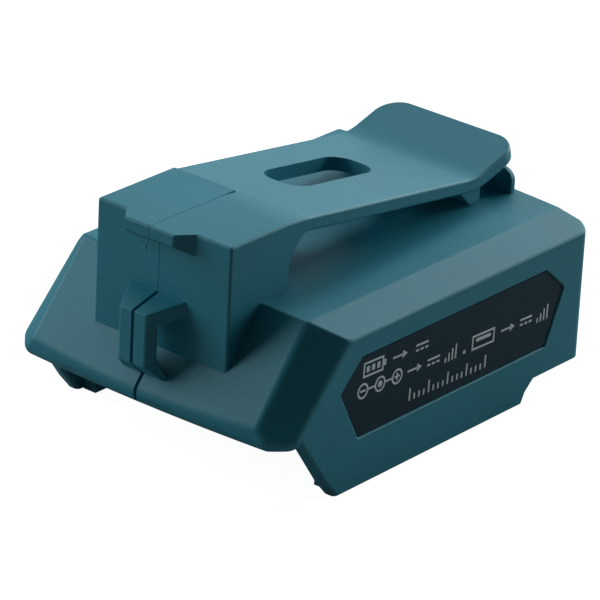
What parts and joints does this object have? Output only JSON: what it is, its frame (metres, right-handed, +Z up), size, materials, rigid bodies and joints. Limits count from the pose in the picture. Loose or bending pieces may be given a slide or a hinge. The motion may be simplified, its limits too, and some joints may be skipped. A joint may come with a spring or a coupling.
{
  "type": "battery adapter",
  "caption": "Clamshell battery adapter that slides onto a tool battery and gives its power through a 5 V socket and a 12 V jack, with a springy belt clip and a strap loop.",
  "frame": {"origin": "middle of the bounding box, on the resting face under the two skirts", "axes": "+X across to the side wall with the label, +Y from the strap loop to the socket end, +Z up through the belt clip"},
  "size_m": [0.065, 0.0944, 0.047],
  "materials": {
    "teal_plastic": "satin moulded ABS, dark teal",
    "label_film": "matt near-black polyester film with light grey print",
    "board_laminate": "glass-fibre laminate with green solder mask",
    "plated_steel": "bright nickel plating on steel",
    "black_plastic": "moulded black nylon",
    "contact_brass": "plated spring brass",
    "button_plastic": "satin moulded black plastic",
    "led_lens": "clear cast epoxy",
    "clear_plastic": "polished clear polycarbonate",
    "capacitor_can": "aluminium can in a dark shrunk sleeve",
    "ferrite": "moulded ferrite powder, dark grey",
    "fuse_body": "white fired body of a surface fuse"
  },
  "bodies": {
    "shell": {"left_housing": "teal_plastic", "right_housing": "teal_plastic", "label_plate": "label_film", "circuit_board": "board_laminate", "usb_socket_shell": "plated_steel", "usb_tongue": "black_plastic", "usb_contacts": "contact_brass", "dc_jack_body": "black_plastic", "dc_jack_pin": "contact_brass", "dc_jack_spring": "contact_brass", "switch_body": "black_plastic", "status_led": "led_lens", "light_pipe": "clear_plastic", "terminal_block": "black_plastic", "positive_terminal": "contact_brass", "signal_terminal": "contact_brass", "negative_terminal": "contact_brass", "input_capacitors": "capacitor_can", "output_capacitor": "capacitor_can", "buck_inductor": "ferrite", "regulator_chip": "black_plastic", "schottky_diode": "black_plastic", "input_fuse": "fuse_body", "chip_resistors": "black_plastic", "housing_screws": "plated_steel"},
    "clip": {"belt_clip": "teal_plastic"},
    "button": {"power_button": "button_plastic", "switch_plunger": "button_plastic"}
  },
  "joints": [
    {"name": "clip_flex", "type": "hinge", "parent": "shell", "child": "clip", "pos_m": [0, -0.0203, 0.04662], "axis": [1, 0, 0], "range_deg": [0, 7], "stiffness_Nm_per_rad": 4},
    {"name": "button_press", "type": "slide", "parent": "shell", "child": "button", "axis": [0, -1, 0], "range_m": [0, 0.0006], "stiffness_N_per_m": 2000, "springref_m": -0.0002}
  ]
}
